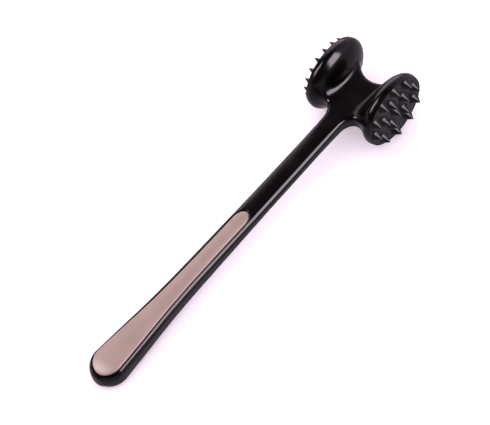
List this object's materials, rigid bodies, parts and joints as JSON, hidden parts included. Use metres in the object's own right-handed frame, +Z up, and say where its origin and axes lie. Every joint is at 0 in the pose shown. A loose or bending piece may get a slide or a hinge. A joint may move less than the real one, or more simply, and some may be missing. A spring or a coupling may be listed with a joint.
{
  "type": "meat mallet",
  "caption": "Hand mallet with a double-ended round head, coarse and fine spiked faces, and a long flared handle with a soft inlay.",
  "frame": {"origin": "middle of the footprint, on the table that the mallet lies on", "axes": "+Z up, +X from the grip towards the head, and the coarse face looks along -Y"},
  "size_m": [0.2718, 0.0594, 0.0487],
  "materials": {
    "gloss_black": "glossy moulded nylon",
    "satin_black": "satin moulded nylon",
    "carrier_black": "as moulded",
    "steel": "zinc plated",
    "cushion_rubber": "closed-cell rubber",
    "soft_taupe": "matte soft-touch elastomer"
  },
  "bodies": {
    "root": {"body": "gloss_black", "coarse_face": "satin_black", "fine_face": "satin_black", "coarse_weight": "steel", "fine_weight": "steel", "coarse_cushion": "cushion_rubber", "fine_cushion": "cushion_rubber", "core_rod": "steel", "grip_carrier": "carrier_black", "grip_pad": "soft_taupe"}
  },
  "joints": []
}
